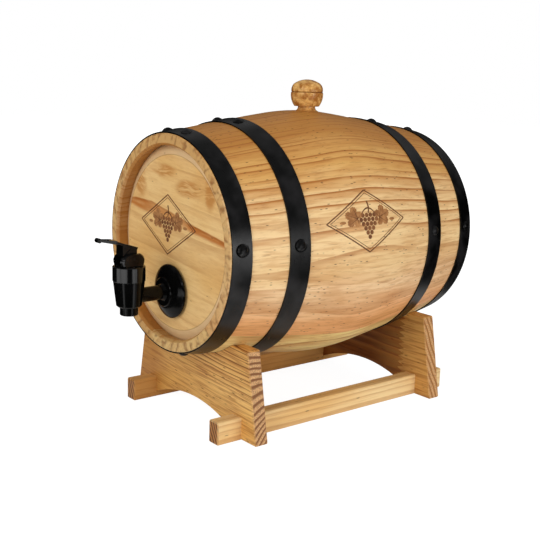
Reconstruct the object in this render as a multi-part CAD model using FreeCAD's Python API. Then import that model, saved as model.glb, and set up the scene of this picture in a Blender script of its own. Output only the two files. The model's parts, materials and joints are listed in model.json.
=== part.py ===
import FreeCAD, Part
import math
import os

# Oak cask liquor dispenser: a coopered cask lying on a two-board cradle stand, with a bung
# on top and a lever tap in the front head.  Millimetres, +Z up, the tap at -Y.
# The origin is under the middle of the whole object, on the surface it stands on.

V = FreeCAD.Vector
ORIGIN = V(0, 0, 0)
AXIS_X = V(1, 0, 0)
AXIS_Y = V(0, 1, 0)
AXIS_Z = V(0, 0, 1)

# ---------------------------------------------------------------- shared clearances
RUN_GAP = 0.05           # radial running fit of a pin, stem or nut
SEAT_GAP = 0.3           # between the cask and its cradle, and round the bung
WRAP_GAP = 0.12          # between the staves and the hoops driven over them
CAP_GAP = 0.1            # sliding fit of the collar over the tap body

# ---------------------------------------------------------------- cask
CASK_LENGTH = 308.0
BILGE_R = 122.0          # outer radius at the middle
CHIME_R = 101.0          # outer radius at the ends
BILGE_CURVE = 0.4        # radius of the middle's curve, as a share of one arc from end to end
BILGE_ARC_HALF = 30.0    # half the length of that curve
STAVE_T = 11.0
CHIME_BEVEL = 2.5        # bevel on the inner lip of the stave ends
CHIME_EASE = 0.8         # broken outer corner of the stave ends
BILGE_LIFT = 50.6        # lowest stave above the surface the stand rests on
STAVES = 12              # equal staves, one centred on the bung

HEAD_RECESS = 8.0        # head panel below the stave ends
HEAD_T = 14.0
CROZE_DEPTH = 3.5        # groove cut into the staves for the head
RIM_WIDTH = 13.4         # bevelled rim round the flat field of the head
RIM_BEVEL = 5.0          # depth of the outer bevel
TONGUE_T = 5.0           # edge of the head that sits in the croze groove
TONGUE_REACH = 3.4
BACK_RIM_WIDTH = 9.4
RIM_GAP = 0.2
HEAD_BOARDS = 3

# ---------------------------------------------------------------- hoops and nails
HOOP_T = 1.2
HEAD_HOOP_W = 18.6
HEAD_HOOP_INSET = 1.0    # head hoop edge from the stave ends
QUARTER_HOOP_W = 20.4
QUARTER_HOOP_IN = 76.8   # inner edge of the quarter hoop from the middle
NAIL_SIDE_ANGLE = 85.0   # nail at each side, from the top
NAIL_PAIR_ANGLE = 8.6    # nails either side of the top and of the bottom
NAIL_HEAD_R = 4.8
NAIL_HEAD_H = 2.9
NAIL_RIM_H = 0.6
NAIL_SHANK_R = 1.3
NAIL_LENGTH = 9.0
NAIL_POINT = 2.2
NAIL_SEAT = 0.1          # head underside above the floor of its dimple
DIMPLE_R = 6.6           # dish pressed into the hoop round each nail
DIMPLE_DEPTH = 0.6

# ---------------------------------------------------------------- bung
BUNG_Y = 11.0            # bunghole behind the middle of the cask
BUNG_PLUG_R = 10.4
BUNG_TIP_R = 9.4
BUNG_PLUG_L = 18.0
BUNG_TIP_EASE = 1.0
BUNG_BASE_R = 11.8
BUNG_BASE_T = 1.2
BUNG_NECK_R = 8.7
BUNG_NECK_Z = 4.35
BUNG_NECK_HOLLOW = 0.7   # how far the waist curves out half way up
BUNG_UNDER_R = 12.6      # underside of the knob
BUNG_UNDER_Z = 5.8
BUNG_UNDER_EASE = 0.4
BUNG_KNOB_R = 16.1
BUNG_LOW_BULGE = 1.2     # bow of the knob's side below the groove
BUNG_HIGH_BULGE = 0.8    # and above it
BUNG_GROOVE_Z = 19.8
BUNG_GROOVE = 0.7
BUNG_CROWN_R = 13.2      # where the side turns into the crown
BUNG_CROWN_Z = 28.0
BUNG_KNOB_H = 32.2       # top of the knob above the spot face
SPOT_DEPTH = 1.6         # flat faced into the bung stave round its hole

# ---------------------------------------------------------------- tap
TAP_DROP = 45.2          # tap shank below the cask axis
TAP_REACH = 47.1         # tap body axis in front of the head panel
SHANK_R = 7.8
SHANK_L = 27.0           # shank behind the head panel
SHANK_BORE_R = 4.0
SHANK_EASE = 1.0
ARM_R = 6.9
ESCUTCHEON_R = 25.4
ESCUTCHEON_RIM = 2.2
ESCUTCHEON_T = 6.2
ESCUTCHEON_EASE = 1.0
ESCUTCHEON_DISH = 0.72   # share of its height that the cone has reached half way in
ESCUTCHEON_SHELF = 0.6   # flat left round the hub
HUB_R = 13.9
HUB_T = 2.6
HUB_EASE = 0.8
ARM_FLARE = 1.6          # the arm widens into the hub
ARM_FLARE_L = 3.0
GASKET_R = 20.0          # soft ring between the escutcheon and the head
GASKET_T = 3.0
NUT_SIDES = 6
NUT_ACROSS = 24.0
NUT_T = 8.0

# Heights inside the tap are measured from the shank axis.
SPOUT_R = 8.35
SPOUT_BORE_R = 5.5
SPOUT_EASE = 0.6
SPOUT_END = -16.8
BODY_FOOT = -9.0
BODY_FOOT_R = 11.7
BODY_FOOT_EASE = 1.4
BODY_TOP_R = 14.4
SEAT_LEVEL = -6.0
CHAMBER_R = 9.6
COLLAR_FOOT = 14.8
COLLAR_TOP = 28.8
COLLAR_R = 14.9
COLLAR_LIP = 2.5
COLLAR_TOP_EASE = 0.8
COLLAR_FOOT_EASE = 0.5
NECK_TOP = 23.4
NECK_R = 12.1
BONNET_BASE_T = 2.5
BONNET_NECK_R = 10.8
BONNET_FOOT_R = 12.7
BONNET_BULGE_R = 14.0
BONNET_BULGE_Z = 34.5
BONNET_FOOT_BOW = 0.3    # the side's arcs fall this far inside the widest radius
BONNET_CROWN_BOW = 1.1
BONNET_CROWN_DROP = 3.0
BONNET_CROWN_R = 9.4
BONNET_CROWN_Z = 40.4
SLOT_HALF = 6.3          # lever slot in the bonnet
SLOT_FLOOR = 30.2
SPRING_POCKET_R = 5.8
SPRING_POCKET_TOP = 26.0
PIVOT_Z = 36.3
PIVOT_R = 1.6
CHEEK_X = 9.8            # flat outer face of a bonnet cheek
PIVOT_HALF = 9.5

LEVER_HALF = 6.0         # half the width across the lever's cheeks
LEVER_HUB_R = 5.3
PLATE_HALF = 6.4
PLATE_T = 2.0
PLATE_LIFT = 8.8         # thumb plate underside from the pivot, along its own normal
PLATE_TILT = 17.0        # degrees, front up
PLATE_BACK = 2.6
PLATE_FRONT = 19.7
TIP_HALF = 3.0
TIP_ROOT_T = 3.4
TIP_LENGTH = 15.0
TIP_TILT = 10.0
TIP_BEAD_R = 2.1
BLOCK_FRONT = 9.6
BLOCK_BACK = 4.8
BLOCK_FOOT = 2.0
FORK_FRONT = 8.0
POCKET_DEPTH = 0.8       # triangular web recess in each side of the block
POCKET_FRONT = 7.4
POCKET_LENGTH = 6.0
POCKET_FOOT = 3.2
POCKET_RIM = 1.0
CRANK_ARM = 5.0
CRANK_R = 1.2
CRANK_WALL = 1.1         # boss round the crank pin
LEVER_TRAVEL = 30.0      # degrees

FORK_GAP = 0.2           # each side of the stem, between the lever's cheeks
TONGUE_HALF = 2.4
TONGUE_FRONT = 3.2
TONGUE_BACK = 8.2
TONGUE_TOP = 2.4
TONGUE_FOOT = 5.7
SLOT_EASE = 0.1
STEM_R = 2.5
STEM_END = -2.6
STEM_FLANGE_R = 5.2
STEM_FLANGE_Z = 8.0
STEM_FLANGE_T = 1.2
CUP_R = 7.6
CUP_NECK_R = 4.6
CUP_LIP = 2.0
CUP_SHOULDER = 2.0
CUP_WEB = 1.6
SPRING_MEAN_R = 4.3
SPRING_WIRE_R = 0.55
SPRING_TURNS = 5.0

# ---------------------------------------------------------------- stand
BOARD_T = 14.5
BOARD_Y = 115.3          # cradle board middle from the cask middle
BOARD_H = 85.1
BOARD_TOP_HALF = 86.4
BOARD_FOOT_HALF = 101.6
ARCH_RISE = 20.0
ARCH_R = 154.0
RAIL_X = 65.8            # inner face of a rail
RAIL_W = 14.0
RAIL_H = 21.3
RAIL_LENGTH = 298.0
EASE = 1.0               # broken edges of boards and rails

# ---------------------------------------------------------------- derived sizes
HALF = CASK_LENGTH / 2
CASK_Z = BILGE_LIFT + BILGE_R                         # height of the cask axis
BILGE_RISE = BILGE_R - CHIME_R
BILGE_ARC_R = BILGE_CURVE * (HALF ** 2 + BILGE_RISE ** 2) / (2 * BILGE_RISE)
PANEL_Y = HALF - HEAD_RECESS
BEVEL_Y = PANEL_Y - RIM_BEVEL
TONGUE_Y = BEVEL_Y - TONGUE_T
BACK_Y = PANEL_Y - HEAD_T
LEVER_FORK = STEM_R + FORK_GAP                        # half the gap between the lever's cheeks
TAP_FROM_MIDDLE = PANEL_Y + TAP_REACH
ESCUTCHEON_BACK = TAP_REACH - GASKET_T                # from the tap body axis
PLATE_REACH = (
    PLATE_FRONT * math.cos(math.radians(PLATE_TILT))
    - (PLATE_LIFT + PLATE_T / 2) * math.sin(math.radians(PLATE_TILT))
)
TIP_REACH = PLATE_REACH + TIP_LENGTH * math.cos(math.radians(TIP_TILT)) + TIP_BEAD_R
CASK_Y = (TAP_FROM_MIDDLE + TIP_REACH - HALF) / 2     # centres the object over the origin
HOOP_BANDS = {
    "head": (HALF - HEAD_HOOP_INSET - HEAD_HOOP_W, HALF - HEAD_HOOP_INSET),
    "quarter": (QUARTER_HOOP_IN, QUARTER_HOOP_IN + QUARTER_HOOP_W),
}
ENDS = {"front": -1, "rear": 1}
SIDES = {"left": -1, "right": 1}
NAIL_ANGLES = [
    base + side for base in (0, 180) for side in (-NAIL_PAIR_ANGLE, NAIL_PAIR_ANGLE)
] + [-NAIL_SIDE_ANGLE, NAIL_SIDE_ANGLE]
NAIL_ROWS = [sign * sum(band) / 2 for sign in ENDS.values() for band in HOOP_BANDS.values()]


os.makedirs("parts", exist_ok=True)


def export(name, shape):
    """Write one node."""
    shape.exportStep("parts/" + name + ".step")


def revolve(points, axis, degrees=360.0):
    """Turn a closed outline about an axis through the origin.

    A three-point tuple in the list is an arc: through its first point to its second.
    """
    edges = []
    here = points[0]
    for item in list(points[1:]) + [points[0]]:
        if isinstance(item, tuple):
            edges.append(Part.Arc(here, item[0], item[1]).toShape())
            here = item[1]
        elif (item - here).Length > 1e-6:
            edges.append(Part.makeLine(here, item))
            here = item
    face = Part.Face(Part.Wire(edges))
    return face.revolve(ORIGIN, axis, degrees)


def cap(r, z, top):
    """Arc of a spherical cap about the Z axis, from (r, z) up to its crown."""
    rise = top - z
    ball = (r * r + rise * rise) / (2 * rise)
    half = math.asin(r / ball) / 2
    return V(ball * math.sin(half), 0, top - ball * (1 - math.cos(half))), V(0, 0, top)


def prism(outline, x0, x1):
    """Extrude a (y, z) outline from x0 to x1."""
    wire = Part.makePolygon([V(x0, y, z) for y, z in outline + outline[:1]])
    return Part.Face(wire).extrude(V(x1 - x0, 0, 0))


def rod(radius, start, end):
    """Round bar between two points."""
    return Part.makeCylinder(radius, (end - start).Length, start, end - start)


def box(x0, x1, y0, y1, z0, z1):
    """Box between pairs of limits."""
    return Part.makeBox(x1 - x0, y1 - y0, z1 - z0, V(x0, y0, z0))


def on_cask(shape):
    """Move a shape built about the cask's own middle to its place."""
    return shape.translated(V(0, CASK_Y, CASK_Z))


# ---------------------------------------------------------------- cask surface
def end_arc():
    """Centre (y, r) and radius of the arc that runs from the bilge curve to the stave end."""
    sine = BILGE_ARC_HALF / BILGE_ARC_R
    cosine = math.sqrt(1 - sine * sine)
    r1 = BILGE_R - BILGE_ARC_R * (1 - cosine)
    dy = HALF - BILGE_ARC_HALF
    dr = CHIME_R - r1
    radius = -(dy * dy + dr * dr) / (2 * (dy * sine + dr * cosine))
    return BILGE_ARC_HALF - radius * sine, r1 - radius * cosine, radius


END_Y, END_R, END_ARC_R = end_arc()


def surface_r(y, off=0.0):
    """Radius of the surface that lies off outside the stave faces, at distance y from the middle."""
    y = abs(y)
    if y <= BILGE_ARC_HALF * (BILGE_ARC_R + off) / BILGE_ARC_R:
        return BILGE_R - BILGE_ARC_R + math.sqrt((BILGE_ARC_R + off) ** 2 - y * y)
    return END_R + math.sqrt((END_ARC_R + off) ** 2 - (y - END_Y) ** 2)


CROZE_R = surface_r(BEVEL_Y, -STAVE_T) + CROZE_DEPTH
HEAD_R = CROZE_R - RIM_GAP
BUNG_SEAT = surface_r(BUNG_Y) - SPOT_DEPTH            # radius of the spot face


def surface_tilt(y):
    """Degrees the outward normal leans towards the nearer end."""
    return math.degrees(math.asin((abs(y) - END_Y) / END_ARC_R))


def on_surface(y, off=0.0):
    return V(0, y, surface_r(y, off))


def surface_run(y0, y1, off=0.0):
    """Points and arcs that follow the cask surface from y0 to y1."""
    joint = BILGE_ARC_HALF * (BILGE_ARC_R + off) / BILGE_ARC_R
    step = 1 if y1 > y0 else -1
    stops = [y0] + [s for s in (-step * joint, step * joint) if min(y0, y1) < s < max(y0, y1)] + [y1]
    return [
        (on_surface((a + b) / 2, off), on_surface(b, off))
        for a, b in zip(stops, stops[1:])
    ]


def stave_outline():
    """Section of a stave: curved back and face, bevelled ends and a croze groove near each end."""
    inner = -STAVE_T
    lip = surface_r(HALF, inner)
    out = [V(0, -HALF, CHIME_R - CHIME_EASE), on_surface(-HALF + CHIME_EASE)]
    out += surface_run(-HALF + CHIME_EASE, HALF - CHIME_EASE)
    out += [V(0, HALF, CHIME_R - CHIME_EASE), V(0, HALF, lip + CHIME_BEVEL)]
    out += [on_surface(HALF - CHIME_BEVEL, inner), on_surface(BEVEL_Y, inner)]
    out += [V(0, BEVEL_Y, CROZE_R), V(0, TONGUE_Y, CROZE_R), on_surface(TONGUE_Y, inner)]
    out += surface_run(TONGUE_Y, -TONGUE_Y, inner)
    out += [V(0, -TONGUE_Y, CROZE_R), V(0, -BEVEL_Y, CROZE_R), on_surface(-BEVEL_Y, inner)]
    out += [on_surface(-HALF + CHIME_BEVEL, inner), V(0, -HALF, lip + CHIME_BEVEL)]
    return out


def nail(shank_extra=0.0):
    """Domed nail along +Z with the underside of its head at the origin."""
    r = NAIL_SHANK_R + shank_extra
    outline = [
        V(0, 0, -NAIL_LENGTH), V(r, 0, -NAIL_LENGTH + NAIL_POINT), V(r, 0, 0), V(NAIL_HEAD_R, 0, 0),
        V(NAIL_HEAD_R, 0, NAIL_RIM_H), cap(NAIL_HEAD_R, NAIL_RIM_H, NAIL_HEAD_H),
    ]
    return revolve(outline, AXIS_Z)


def dimple():
    """Cutter for the dish round a nail, with the crown of the hoop at the origin."""
    floor = NAIL_HEAD_R + CAP_GAP
    slope = (DIMPLE_R - floor) / DIMPLE_DEPTH
    return Part.makeCone(floor, floor + 3 * DIMPLE_DEPTH * slope, 3 * DIMPLE_DEPTH, V(0, 0, -DIMPLE_DEPTH))


def place_nail(shape, y, angle, sink=0.0):
    """Stand a shape on the hoop at y, angle degrees round from the top and sink below its crown."""
    sign = 1 if y > 0 else -1
    out = shape.translated(V(0, 0, -sink))
    out.rotate(ORIGIN, AXIS_X, -sign * surface_tilt(y))
    out.translate(V(0, y, surface_r(y, WRAP_GAP + HOOP_T)))
    out.rotate(ORIGIN, AXIS_Y, angle)
    return out


def stave_name(i):
    """Staves are counted down each side from the one with the bunghole."""
    if i == 0:
        return "stave_bung"
    if 2 * i == STAVES:
        return "stave_bottom"
    return "stave_right_%d" % i if 2 * i < STAVES else "stave_left_%d" % (STAVES - i)


def make_staves():
    """Equal sectors of one turned shell, holed for the nails and the bung."""
    outline = stave_outline()
    hole = nail(WRAP_GAP)
    width = 360.0 / STAVES
    for i in range(STAVES):
        stave = revolve(outline, AXIS_Y, width)
        stave.rotate(ORIGIN, AXIS_Y, (i - 0.5) * width)
        for y in NAIL_ROWS:
            for angle in NAIL_ANGLES:
                if abs((angle - i * width + 180) % 360 - 180) < width / 2:
                    stave = stave.cut(place_nail(hole, y, angle, DIMPLE_DEPTH - NAIL_SEAT))
        if i == 0:
            stave = stave.cut(bung_hole())
        export(stave_name(i), on_cask(stave))


def bung_hole():
    """Tapered hole and the spot face the bung's shoulder sits on."""
    fall = (BUNG_PLUG_R - BUNG_TIP_R) / BUNG_PLUG_L
    depth = 2 * STAVE_T
    top = BUNG_PLUG_R + SEAT_GAP
    seat = V(0, BUNG_Y, BUNG_SEAT)
    cone = Part.makeCone(top - fall * depth, top, depth, seat - AXIS_Z * depth)
    return cone.fuse(rod(BUNG_BASE_R + SEAT_GAP, seat, seat + AXIS_Z * STAVE_T))


def make_bung():
    """Turned stopper: tapered plug, waisted neck and a ball knob with one cut groove."""
    low = BUNG_GROOVE_Z - BUNG_GROOVE
    high = BUNG_GROOVE_Z + BUNG_GROOVE
    waist = V(BUNG_NECK_R + BUNG_NECK_HOLLOW, 0, (BUNG_BASE_T + BUNG_NECK_Z) / 2)
    lower = V((BUNG_UNDER_R + BUNG_KNOB_R) / 2 + BUNG_LOW_BULGE, 0, (BUNG_UNDER_Z + low) / 2)
    upper = V((BUNG_KNOB_R + BUNG_CROWN_R) / 2 + BUNG_HIGH_BULGE, 0, (high + BUNG_CROWN_Z) / 2)
    outline = [
        V(0, 0, -BUNG_PLUG_L), V(BUNG_TIP_R - BUNG_TIP_EASE, 0, -BUNG_PLUG_L),
        V(BUNG_TIP_R, 0, BUNG_TIP_EASE - BUNG_PLUG_L),
        V(BUNG_PLUG_R, 0, 0), V(BUNG_BASE_R, 0, 0), V(BUNG_BASE_R, 0, BUNG_BASE_T),
        (waist, V(BUNG_NECK_R, 0, BUNG_NECK_Z)),
        V(BUNG_NECK_R, 0, BUNG_UNDER_Z), V(BUNG_UNDER_R - BUNG_UNDER_EASE, 0, BUNG_UNDER_Z),
        V(BUNG_UNDER_R, 0, BUNG_UNDER_Z + BUNG_UNDER_EASE), (lower, V(BUNG_KNOB_R, 0, low)),
        V(BUNG_KNOB_R - BUNG_GROOVE, 0, BUNG_GROOVE_Z), V(BUNG_KNOB_R - BUNG_GROOVE / 2, 0, high),
        (upper, V(BUNG_CROWN_R, 0, BUNG_CROWN_Z)), cap(BUNG_CROWN_R, BUNG_CROWN_Z, BUNG_KNOB_H),
    ]
    bung = revolve(outline, AXIS_Z)
    export("bung", on_cask(bung.translated(V(0, BUNG_Y, BUNG_SEAT))))


def make_hoops():
    """Conical steel bands, each with a ring of domed nails."""
    solid_nail = nail()
    clear_nail = nail(WRAP_GAP)
    dish = dimple()
    seat = DIMPLE_DEPTH - NAIL_SEAT
    for end, sign in ENDS.items():
        for kind, (y0, y1) in HOOP_BANDS.items():
            corners = [
                on_surface(sign * y0, WRAP_GAP), on_surface(sign * y1, WRAP_GAP),
                on_surface(sign * y1, WRAP_GAP + HOOP_T), on_surface(sign * y0, WRAP_GAP + HOOP_T),
            ]
            hoop = revolve(corners, AXIS_Y)
            middle = sign * (y0 + y1) / 2
            for angle in NAIL_ANGLES:
                hoop = hoop.cut(place_nail(clear_nail, middle, angle, seat))
                hoop = hoop.cut(place_nail(dish, middle, angle))
            nails = [place_nail(solid_nail, middle, angle, seat) for angle in NAIL_ANGLES]
            export("hoop_%s_%s" % (end, kind), on_cask(hoop))
            export("nails_%s_%s" % (end, kind), on_cask(Part.makeCompound(nails)))


def make_heads():
    """Round heads of edge-joined boards, bevelled to a tongue that sits in the croze."""
    wall = HEAD_R - TONGUE_REACH
    outline = [
        V(0, BACK_Y, 0), V(0, PANEL_Y, 0), V(0, PANEL_Y, HEAD_R - RIM_WIDTH), V(0, BEVEL_Y, wall),
        V(0, BEVEL_Y, HEAD_R), V(0, TONGUE_Y, HEAD_R), V(0, TONGUE_Y, wall),
        V(0, BACK_Y, HEAD_R - BACK_RIM_WIDTH),
    ]
    disc = revolve(outline, AXIS_Y)
    width = 2 * HEAD_R / HEAD_BOARDS
    for end, sign in ENDS.items():
        head = disc if sign > 0 else disc.mirror(ORIGIN, AXIS_Y)
        if end == "front":
            hole = rod(SHANK_R + CAP_GAP, V(0, -HALF, -TAP_DROP), V(0, 0, -TAP_DROP))
            head = head.cut(hole)
        for i in range(HEAD_BOARDS):
            z = -HEAD_R + i * width
            board = head.common(box(-HEAD_R, HEAD_R, -HALF, HALF, z, z + width))
            export("%s_head_board_%d" % (end, i + 1), on_cask(board))


# ---------------------------------------------------------------- tap
def on_tap(shape):
    """Move a shape built about the crossing of the tap's body and shank axes to its place."""
    return shape.translated(V(0, CASK_Y - TAP_FROM_MIDDLE, CASK_Z - TAP_DROP))


def make_tap_fixings():
    """Escutcheon and its gasket in front of the head, and the hexagon nut behind it."""
    hole = SHANK_R + CAP_GAP
    rim = ESCUTCHEON_BACK - ESCUTCHEON_RIM
    front = ESCUTCHEON_BACK - ESCUTCHEON_T
    cone_r = HUB_R + ESCUTCHEON_SHELF
    dish = V(0, ESCUTCHEON_BACK - ESCUTCHEON_DISH * ESCUTCHEON_T, (ESCUTCHEON_R + cone_r) / 2)
    outline = [
        V(0, ESCUTCHEON_BACK, hole), V(0, ESCUTCHEON_BACK, ESCUTCHEON_R),
        V(0, rim + ESCUTCHEON_EASE, ESCUTCHEON_R), V(0, rim, ESCUTCHEON_R - ESCUTCHEON_EASE),
        (dish, V(0, front, cone_r)), V(0, front, hole),
    ]
    export("tap_escutcheon", on_tap(revolve(outline, AXIS_Y)))
    seat = V(0, ESCUTCHEON_BACK, 0)
    panel = V(0, TAP_REACH, 0)
    export("tap_gasket", on_tap(rod(GASKET_R, seat, panel).cut(rod(hole, seat, panel))))
    back = TAP_REACH + HEAD_T
    corner = NUT_ACROSS / math.sqrt(3)
    turns = [math.tau * k / NUT_SIDES for k in range(NUT_SIDES + 1)]
    points = [V(corner * math.sin(a), back, corner * math.cos(a)) for a in turns]
    nut = Part.Face(Part.makePolygon(points)).extrude(V(0, NUT_T, 0))
    nut = nut.cut(rod(SHANK_R + RUN_GAP, V(0, back, 0), V(0, back + NUT_T, 0)))
    export("tap_nut", on_tap(nut))


def make_tap_body():
    """Tapered barrel with its spout, arm, hub and hollow shank in one moulding."""
    barrel = revolve([
        V(0, 0, SPOUT_END), V(SPOUT_R - SPOUT_EASE, 0, SPOUT_END), V(SPOUT_R, 0, SPOUT_END + SPOUT_EASE),
        V(SPOUT_R, 0, BODY_FOOT), V(BODY_FOOT_R - BODY_FOOT_EASE, 0, BODY_FOOT),
        V(BODY_FOOT_R, 0, BODY_FOOT + BODY_FOOT_EASE), V(BODY_TOP_R, 0, COLLAR_FOOT),
        V(NECK_R, 0, COLLAR_FOOT), V(NECK_R, 0, NECK_TOP), V(0, 0, NECK_TOP),
    ], AXIS_Z)
    hub_back = ESCUTCHEON_BACK - ESCUTCHEON_T
    hub_front = hub_back - HUB_T
    flare = hub_front - ARM_FLARE_L
    shank_end = TAP_REACH + SHANK_L
    hub = revolve([
        V(0, flare, 0), V(0, flare, ARM_R), V(0, hub_front, ARM_R + ARM_FLARE),
        V(0, hub_front, HUB_R - HUB_EASE), V(0, hub_front + HUB_EASE, HUB_R), V(0, hub_back, HUB_R),
        V(0, hub_back, SHANK_R), V(0, shank_end - SHANK_EASE, SHANK_R),
        V(0, shank_end, SHANK_R - SHANK_EASE), V(0, shank_end, 0),
    ], AXIS_Y)
    arm = rod(ARM_R, ORIGIN, V(0, hub_front, 0))
    body = barrel.fuse([arm, hub])
    body = body.cut(rod(CHAMBER_R, V(0, 0, SEAT_LEVEL), V(0, 0, NECK_TOP)))
    body = body.cut(rod(SPOUT_BORE_R, V(0, 0, SPOUT_END), V(0, 0, SEAT_LEVEL)))
    body = body.cut(rod(SHANK_BORE_R, ORIGIN, V(0, shank_end, 0)))
    export("tap_body", on_tap(body.removeSplitter()))


def make_tap_collar():
    """Screw ring that holds the bonnet down on the body."""
    lip_r = BONNET_NECK_R + CAP_GAP
    inner = NECK_R + CAP_GAP
    lip_z = COLLAR_TOP - COLLAR_LIP
    outline = [
        V(inner, 0, COLLAR_FOOT), V(COLLAR_R - COLLAR_FOOT_EASE, 0, COLLAR_FOOT),
        V(COLLAR_R, 0, COLLAR_FOOT + COLLAR_FOOT_EASE), V(COLLAR_R, 0, COLLAR_TOP - COLLAR_TOP_EASE),
        V(COLLAR_R - COLLAR_TOP_EASE, 0, COLLAR_TOP), V(lip_r, 0, COLLAR_TOP),
        V(lip_r, 0, lip_z), V(inner, 0, lip_z),
    ]
    export("tap_collar", on_tap(revolve(outline, AXIS_Z)))


def make_tap_bonnet():
    """Slotted dome with flat cheeks, bored across for the pivot and down for the stem."""
    foot = COLLAR_TOP + CAP_GAP
    neck = NECK_R - CAP_GAP
    flank = V(BONNET_BULGE_R - BONNET_FOOT_BOW, 0, (foot + BONNET_BULGE_Z) / 2)
    shoulder = V(BONNET_BULGE_R - BONNET_CROWN_BOW, 0, BONNET_CROWN_Z - BONNET_CROWN_DROP)
    dome = revolve([
        V(0, 0, NECK_TOP), V(neck, 0, NECK_TOP), V(neck, 0, NECK_TOP + BONNET_BASE_T),
        V(BONNET_NECK_R, 0, NECK_TOP + BONNET_BASE_T), V(BONNET_NECK_R, 0, foot),
        V(BONNET_FOOT_R, 0, foot), (flank, V(BONNET_BULGE_R, 0, BONNET_BULGE_Z)),
        (shoulder, V(BONNET_CROWN_R, 0, BONNET_CROWN_Z)), V(0, 0, BONNET_CROWN_Z),
    ], AXIS_Z)
    top = BONNET_CROWN_Z + SEAT_GAP
    wide = COLLAR_R
    bonnet = dome.cut(box(-SLOT_HALF, SLOT_HALF, -wide, wide, SLOT_FLOOR, top))
    for side in SIDES.values():
        flat = box(CHEEK_X, wide, -wide, wide, foot, top)
        bonnet = bonnet.cut(flat if side > 0 else flat.mirror(ORIGIN, AXIS_X))
    bonnet = bonnet.cut(rod(STEM_R + RUN_GAP, V(0, 0, NECK_TOP), V(0, 0, SLOT_FLOOR)))
    bonnet = bonnet.cut(rod(SPRING_POCKET_R, V(0, 0, NECK_TOP), V(0, 0, SPRING_POCKET_TOP)))
    bonnet = bonnet.cut(rod(PIVOT_R + RUN_GAP, V(-CHEEK_X, 0, PIVOT_Z), V(CHEEK_X, 0, PIVOT_Z)))
    export("tap_bonnet", on_tap(bonnet))
    pin = rod(PIVOT_R, V(-PIVOT_HALF, 0, PIVOT_Z), V(PIVOT_HALF, 0, PIVOT_Z))
    export("tap_pivot_pin", on_tap(pin))


def make_tap_lever():
    """Forked hub under a cranked thumb plate that tapers to a beaded tip.

    Built about the pivot: +Y to the back, +Z up.
    """
    tilt = math.radians(PLATE_TILT)
    along = V(0, -math.cos(tilt), math.sin(tilt))
    up = V(0, math.sin(tilt), math.cos(tilt))

    def on_plate(distance, lift):
        """(y, z) at a distance forwards along the plate's underside and a lift above it."""
        p = along * distance + up * (PLATE_LIFT + lift)
        return p.y, p.z

    plate = prism([
        on_plate(-PLATE_BACK, 0), on_plate(PLATE_FRONT, 0),
        on_plate(PLATE_FRONT, PLATE_T), on_plate(-PLATE_BACK, PLATE_T),
    ], -PLATE_HALF, PLATE_HALF)
    root_y, root_z = on_plate(PLATE_FRONT, PLATE_T / 2)
    tip_tilt = math.radians(TIP_TILT)
    end = V(0, root_y - TIP_LENGTH * math.cos(tip_tilt), root_z + TIP_LENGTH * math.sin(tip_tilt))
    root_y += PLATE_T / 2
    blade = prism([
        (root_y, root_z - TIP_ROOT_T / 2), (end.y, end.z - PLATE_T / 2),
        (end.y, end.z + PLATE_T / 2), (root_y, root_z + TIP_ROOT_T / 2),
    ], -PLATE_HALF, PLATE_HALF)
    corners = [
        V(-PLATE_HALF, root_y, 0), V(PLATE_HALF, root_y, 0), V(TIP_HALF, end.y, 0), V(-TIP_HALF, end.y, 0),
    ]
    blade = blade.common(Part.Face(Part.makePolygon(corners + corners[:1])).extrude(V(0, 0, 2 * end.z)))
    bead = rod(TIP_BEAD_R, end - AXIS_X * TIP_HALF, end + AXIS_X * TIP_HALF)

    def under_plate(y, depth):
        """(y, z) at a depth below the plate's underside."""
        return y, PLATE_LIFT / math.cos(tilt) - y * math.tan(tilt) - depth

    sunk = -PLATE_T / 4
    block = prism([
        (-BLOCK_FRONT, BLOCK_FOOT), (BLOCK_BACK, BLOCK_FOOT),
        under_plate(BLOCK_BACK, sunk), under_plate(-BLOCK_FRONT, sunk),
    ], -LEVER_HALF, LEVER_HALF)
    hub = rod(LEVER_HUB_R, V(-LEVER_HALF, 0, 0), V(LEVER_HALF, 0, 0))
    below = -2 * LEVER_HUB_R
    fork = prism([
        (-FORK_FRONT, below), (BLOCK_FRONT, below), under_plate(BLOCK_FRONT, 0), under_plate(-FORK_FRONT, 0),
    ], -LEVER_FORK, LEVER_FORK)
    lever = block.fuse(hub).cut(fork).fuse([plate, blade, bead])
    pocket = [
        (-POCKET_FRONT, POCKET_FOOT), under_plate(-POCKET_FRONT, POCKET_RIM),
        under_plate(POCKET_LENGTH - POCKET_FRONT, POCKET_RIM),
    ]
    for sign in SIDES.values():
        face = sign * LEVER_HALF
        lever = lever.cut(prism(pocket, face - sign * POCKET_DEPTH, face))
    lever = lever.cut(rod(PIVOT_R + RUN_GAP, V(-LEVER_HALF, 0, 0), V(LEVER_HALF, 0, 0)))
    crank = V(0, CRANK_ARM, 0)
    for sign in SIDES.values():
        inside = crank + AXIS_X * sign * LEVER_FORK
        lever = lever.fuse(rod(CRANK_R + CRANK_WALL, inside, crank + AXIS_X * sign * LEVER_HALF))
    lever = lever.cut(rod(CRANK_R + RUN_GAP, crank - AXIS_X * LEVER_HALF, crank + AXIS_X * LEVER_HALF))
    pivot = V(0, 0, PIVOT_Z)
    export("tap_lever", on_tap(lever.removeSplitter().translated(pivot)))
    pin = rod(CRANK_R, crank - AXIS_X * LEVER_HALF, crank + AXIS_X * LEVER_HALF)
    export("tap_crank_pin", on_tap(pin.translated(pivot)))


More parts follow.
